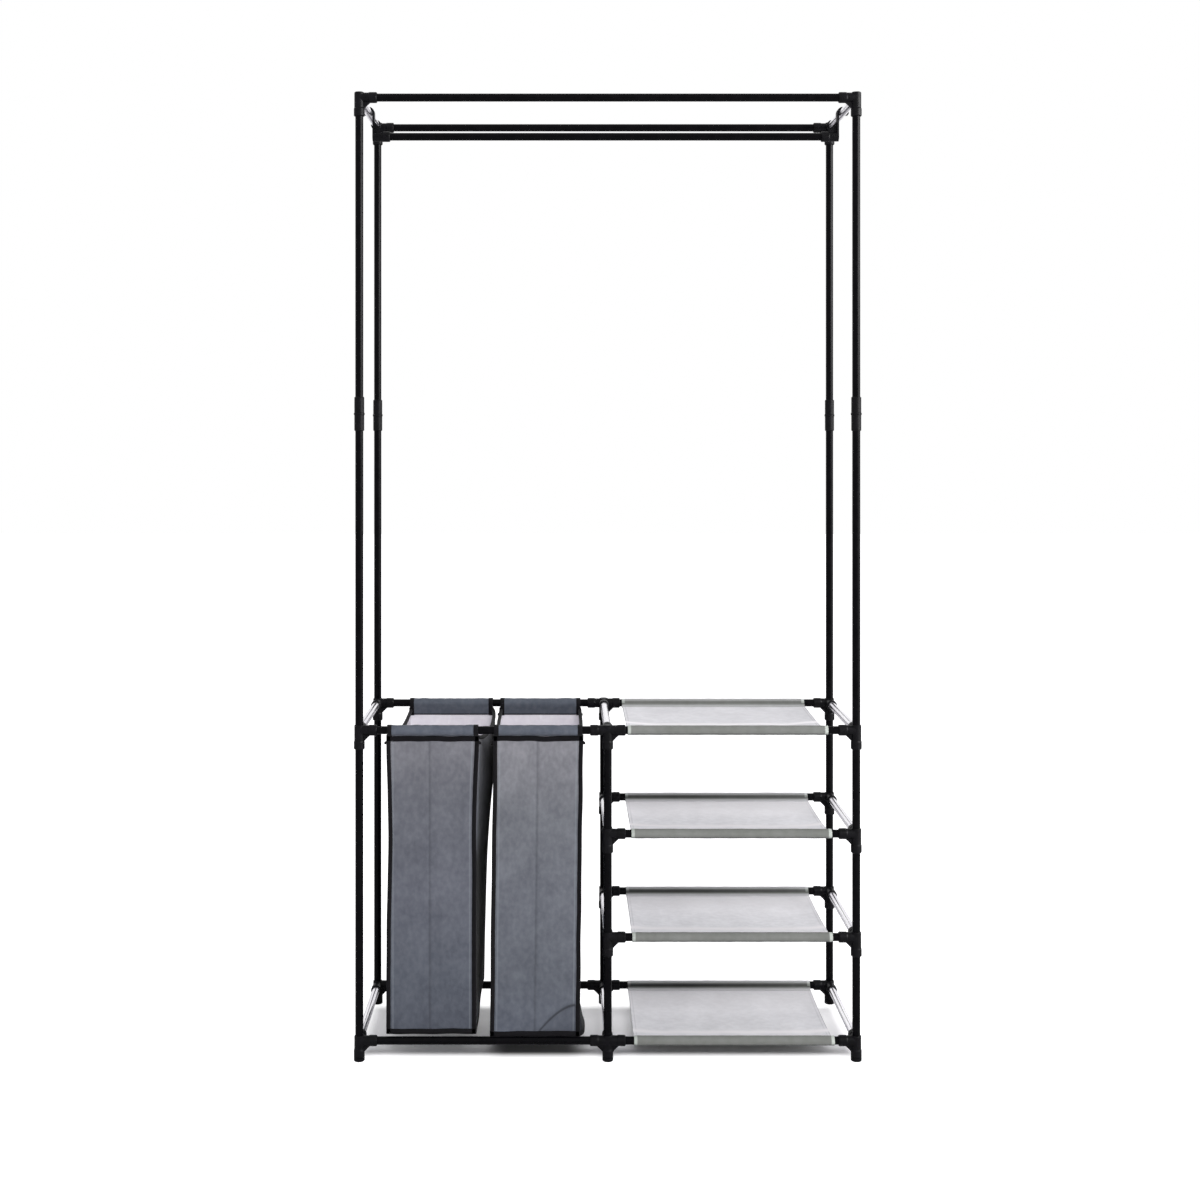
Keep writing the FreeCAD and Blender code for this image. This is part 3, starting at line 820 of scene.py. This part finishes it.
def bag_sleeves(side, body, shape, middle, half_x, mouth):
    """The sleeves: cloth that rises from the top of a panel, goes over the rail and hangs down inside.
    Its inner edge is stitched to the panel below the mouth. The straight runs touch the circle round the
    rail. Tape binds both ends."""
    half_length = half_x - tape_width + sleeve_end + shape["spread"] / 2
    rail_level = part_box("bag_rail_front")[0].z + tube_radius
    mouth_spot = np.array([0.0, mouth - rail_level])
    outer_foot = mouth_spot + sleeve_foot
    inner_end = mouth_spot + sleeve_inner_edge
    loop = wrapped(outer_foot, inner_end, sleeve_radius)
    path, reach = along(np.vstack([outer_foot, loop, inner_end]), 84)
    size = np.hypot(path[:, 0], path[:, 1])
    wrap = path * (1 + end_tape_gap / size)[:, None]
    for row, y_rail, seed in (("front", rail_front, 20), ("rear", rail_rear, 21)):
        outwards = np.sign(y_rail)
        centre = middle + shape["spread"] / 2 + shape["rear_slip"] * (row == "rear")
        x, out = np.meshgrid(centre + np.linspace(-1, 1, 61) * half_length, path[:, 0], indexing="ij")
        up = np.broadcast_to(path[:, 1], out.shape)
        held = np.clip((up - outer_foot[1]) / 0.003, 0, 1)
        wave = swell(x * 1.4, reach[None, :] * 2.5, seed + 2 * (side == "right"), 0.06)
        grow = 1 + held * sleeve_slack * np.abs(wave) / size
        points = np.stack([x, y_rail + outwards * out * grow, rail_level + up * grow], -1)
        faces = grid_faces(*x.shape)[:, ::-int(outwards)]
        sleeve = make_piece("laundry_bag_%s_sleeve_%s" % (side, row), points, faces, [sleeve_cloth], body)
        seam = np.clip(1.2 - (reach[-1] - reach) / sleeve_seam_width, 0, 1)
        store(sleeve, "crease", seam * np.ones_like(x))
        thicken(sleeve, sleeve_wall, 0.0)
        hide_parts("laundry_bag_" + side)
        points, faces = [], []
        for end in (-1, 1):
            across = centre + end * (half_length + np.linspace(-end_tape_half, end_tape_half, 7))
            x, out = np.meshgrid(across, wrap[:, 0], indexing="ij")
            up = np.broadcast_to(wrap[:, 1], x.shape)
            points.append(np.stack([x, y_rail + outwards * out, rail_level + up], -1).reshape(-1, 3))
            turned = grid_faces(*x.shape, first=(end > 0) * x.size)[:, ::-end * int(outwards)]
            faces.append(turned)
        binding = make_piece("laundry_bag_%s_sleeve_binding_%s" % (side, row), np.vstack(points),
                             np.vstack(faces), [tape_black], body)
        thicken(binding, end_tape_thickness, 0.0)
        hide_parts("bag_binding_" + side)


def bag_tape(side, body, shape, middle, half_x, half_y, mouth, bottom):
    """Black tape: folded over the upright and base corners, over the side edges of the mouth, and flat
    on the front and rear below the sleeves. A short tab sticks out at the top of each upright."""
    strips = []

    def form(x, y, way, z):
        """Where the bag's form puts spots that face one way."""
        spots = np.stack(np.broadcast_arrays(x, y), -1)
        return bag_form(shape, spots, np.broadcast_to(np.array(way, float), spots.shape), z, mouth, bottom)

    def lay(path, across, out, profile, turned):
        """Adds a tape. Its profile may be turned round, so that its faces point outwards."""
        strips.append(carried(path, np.array(across, float), np.array(out, float),
                              profile[::-1] if turned else profile))

    folded = corner_tape(tape_width, tape_thickness)
    upright = corner_tape(edge_tape_width, tape_thickness)
    tab = flat_tape(tab_width, tape_thickness)
    z = np.linspace(mouth + mouth_tape_rise, bottom, upright_steps)
    for sx in (-1, 1):
        for sy in (-1, 1):
            edge = np.full(upright_steps, sy * half_y)
            x, y = form(sx * half_x, edge, (sx, 0), z)
            beside = form(sx * half_x, edge - sy * edge_tape_width, (sx, 0), z)[0]
            leg = np.stack([beside - x, np.full(upright_steps, -sy * edge_tape_width), 0 * z], -1)
            leg /= np.linalg.norm(leg, axis=1)[:, None]
            wobble = upright_wobble * swell(z, z * 0, 30 + sx + 2 * sy + len(side), 0.16)
            path = np.stack([x + middle + wobble, y, z], -1)
            lay(path, (-sx, 0, 0), leg, upright, sx * sy > 0)
            share = np.array([0.0, 0.4, 1.0])[:, None]
            taper = tab[None] * (1 - 0.35 * share)[:, :, None]
            lay(path[1] + share * np.array([sx * tab_reach, 0.0, -tab_drop]), (0, 0, -1), (0, sy, 0),
                taper[:, ::sx], False)
    for sy in (-1, 1):
        x = np.linspace(-half_x, half_x, width_steps)
        edge = np.full(width_steps, sy * half_y)
        dip = base_wobble * swell(x, x * 0, 50 + sy + len(side), 0.09)
        path = np.stack([x + middle + shape["shear"], edge, bottom + dip], -1)
        lay(path, (0, -sy, 0), (0, 0, 1), folded, sy > 0)
        dip = face_wobble * swell(x, x * 0, 70 + sy + len(side), 0.07)
        x = form(x, edge, (0, sy), np.full(width_steps, mouth))[0]
        path = np.stack([x + middle, edge, mouth - face_tape_width + dip], -1)
        lay(path, (0, 0, 1), (0, sy, 0), flat_tape(face_tape_width, tape_thickness), sy < 0)
    for sx in (-1, 1):
        y = np.linspace(-half_y, half_y, depth_steps)
        z = mouth - mouth_sag * (1 - (y / half_y) ** 2)
        x = form(sx * half_x, y, (sx, 0), z)[0] - sx * (mouth_tape_girth - tape_thickness)
        path = np.stack([x + middle, y, z + mouth_tape_rise - tape_width], -1)
        lay(path, (0, 0, 1), (sx, 0, 0), flat_tape(tape_width, mouth_tape_girth), sx > 0)
        z = np.full(depth_steps, bottom)
        path = np.stack([form(sx * half_x, y, (sx, 0), z)[0] + middle, y, z], -1)
        lay(path, (-sx, 0, 0), (0, 0, 1), folded, sx < 0)
    points, faces = joined(strips)
    tape = make_piece("laundry_bag_%s_tape" % side, points, faces, [tape_black], body)
    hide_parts("bag_binding_" + side)


for side in bag_shapes:
    laundry_bag(side)
